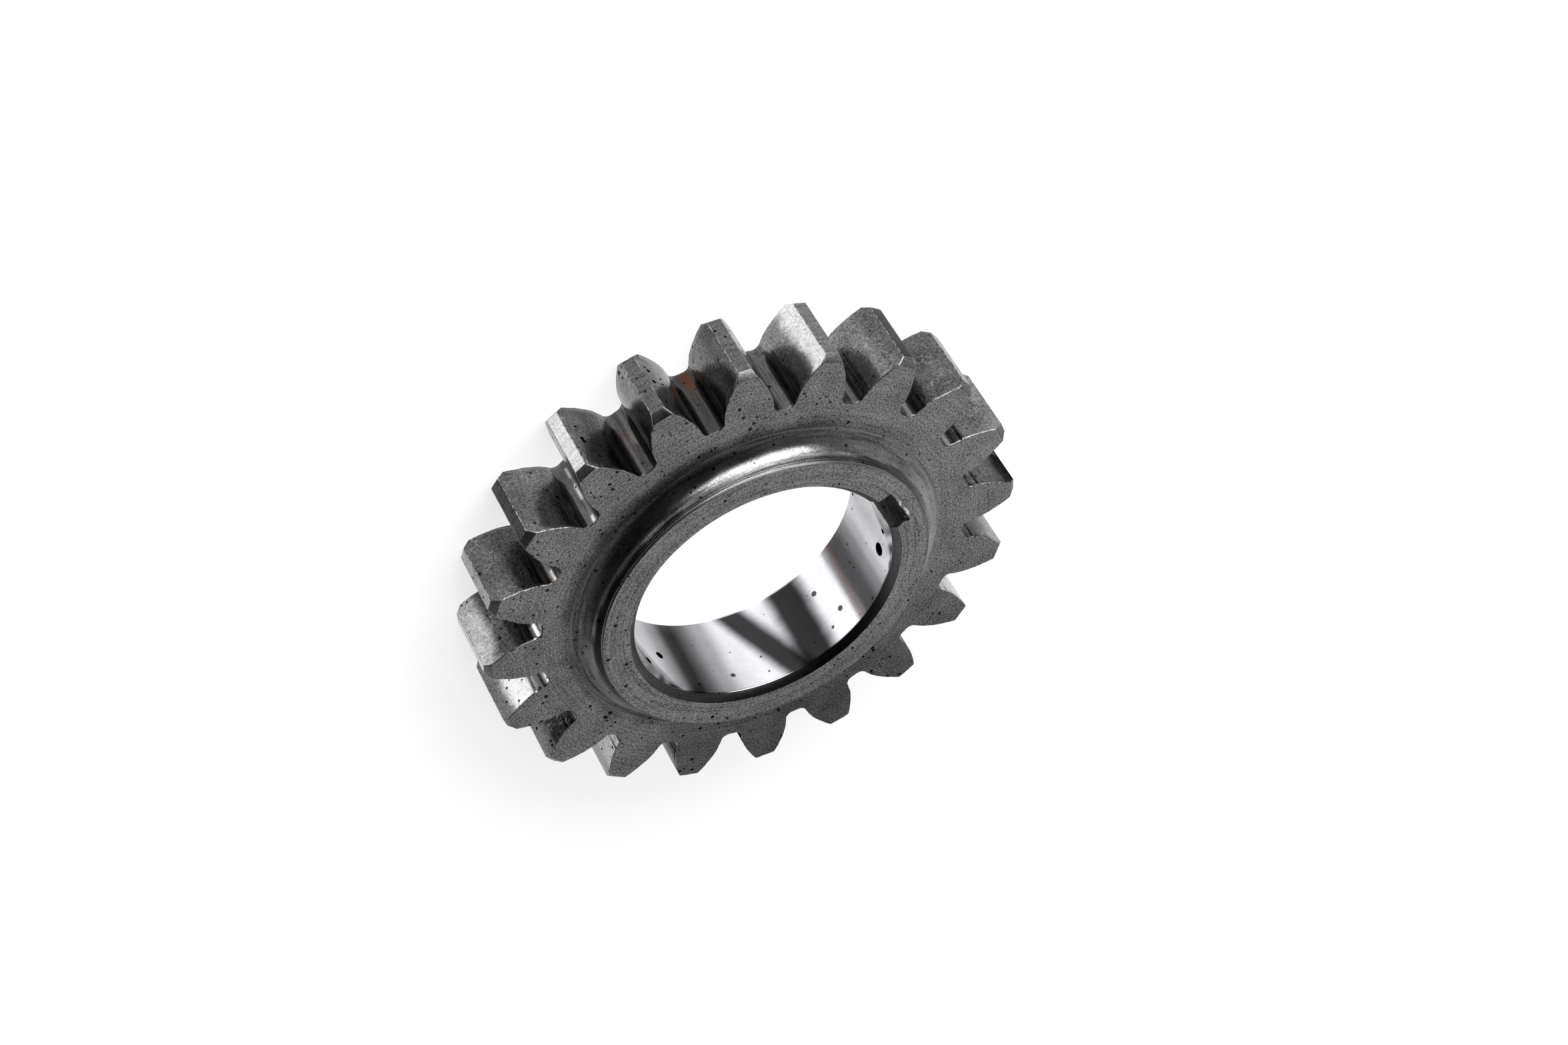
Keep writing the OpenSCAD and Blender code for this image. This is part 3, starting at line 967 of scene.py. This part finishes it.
def make_camera():
    """The photograph's viewing angle: the gear lies on its back face, and the camera is rolled."""
    data = bpy.data.cameras.new("camera")
    data.sensor_width, data.lens, data.clip_start = 36, 77.435, 0.01
    camera = bpy.data.objects.new("camera", data)
    aim = Vector((5.84, 6.44, 10)) * MM
    camera.matrix_world = looking_at(aim, azimuth=91.236, elevation=38.320, roll=148.558,
                                     distance=379.12 * MM)
    bpy.context.scene.collection.objects.link(camera)
    bpy.context.scene.camera = camera


# Operators and panel

class OBJECT_OT_crankshaft_gear(Operator):
    """Build the gear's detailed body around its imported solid"""
    bl_idname = "object.crankshaft_gear"
    bl_label = "Crankshaft Gear"

    def execute(self, context):
        colours = context.scene.gear_colours
        materials = {name: Steel(finish, colours).build() for name, finish in FINISHES.items()}
        body = gear_mesh(in_mm(context.scene.gear_sizes)).make("crankshaft_gear_body", materials)
        weights = body.modifiers.new("face_normals", "WEIGHTED_NORMAL")
        weights.mode, weights.weight, weights.keep_sharp = "FACE_AREA", 60, True
        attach(body, "root")
        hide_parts(NODE)
        return {"FINISHED"}


class OBJECT_OT_gear_stage(Operator):
    """Set the paper sweep, the soft lamp, the world and the camera"""
    bl_idname = "object.gear_stage"
    bl_label = "Gear Stage"

    def execute(self, context):
        context.scene.world = make_room()
        context.scene.view_settings.view_transform = "Standard"
        make_sweep(context.scene.gear_colours)
        make_lamp()
        make_camera()
        return {"FINISHED"}


class VIEW3D_PT_crankshaft_gear(Panel):
    """Sizes, colours and the two build steps"""
    bl_label = "Crankshaft Gear"
    bl_idname = "VIEW3D_PT_crankshaft_gear"
    bl_space_type = "VIEW_3D"
    bl_region_type = "UI"
    bl_category = "Gear"

    def draw(self, context):
        for group in (context.scene.gear_sizes, context.scene.gear_colours):
            column = self.layout.column()
            for name in group.__annotations__:
                column.prop(group, name)
        for operator in (OBJECT_OT_crankshaft_gear, OBJECT_OT_gear_stage):
            self.layout.operator(operator.bl_idname)


CLASSES = [GearSizes, GearColours, OBJECT_OT_crankshaft_gear, OBJECT_OT_gear_stage,
           VIEW3D_PT_crankshaft_gear]


def register():
    for cls in CLASSES:
        bpy.utils.register_class(cls)
    bpy.types.Scene.gear_sizes = PointerProperty(type=GearSizes)
    bpy.types.Scene.gear_colours = PointerProperty(type=GearColours)


def unregister():
    del bpy.types.Scene.gear_colours
    del bpy.types.Scene.gear_sizes
    for cls in reversed(CLASSES):
        bpy.utils.unregister_class(cls)


def main():
    register()
    bpy.ops.object.crankshaft_gear()
    bpy.ops.object.gear_stage()


if __name__ == "__main__":
    main()
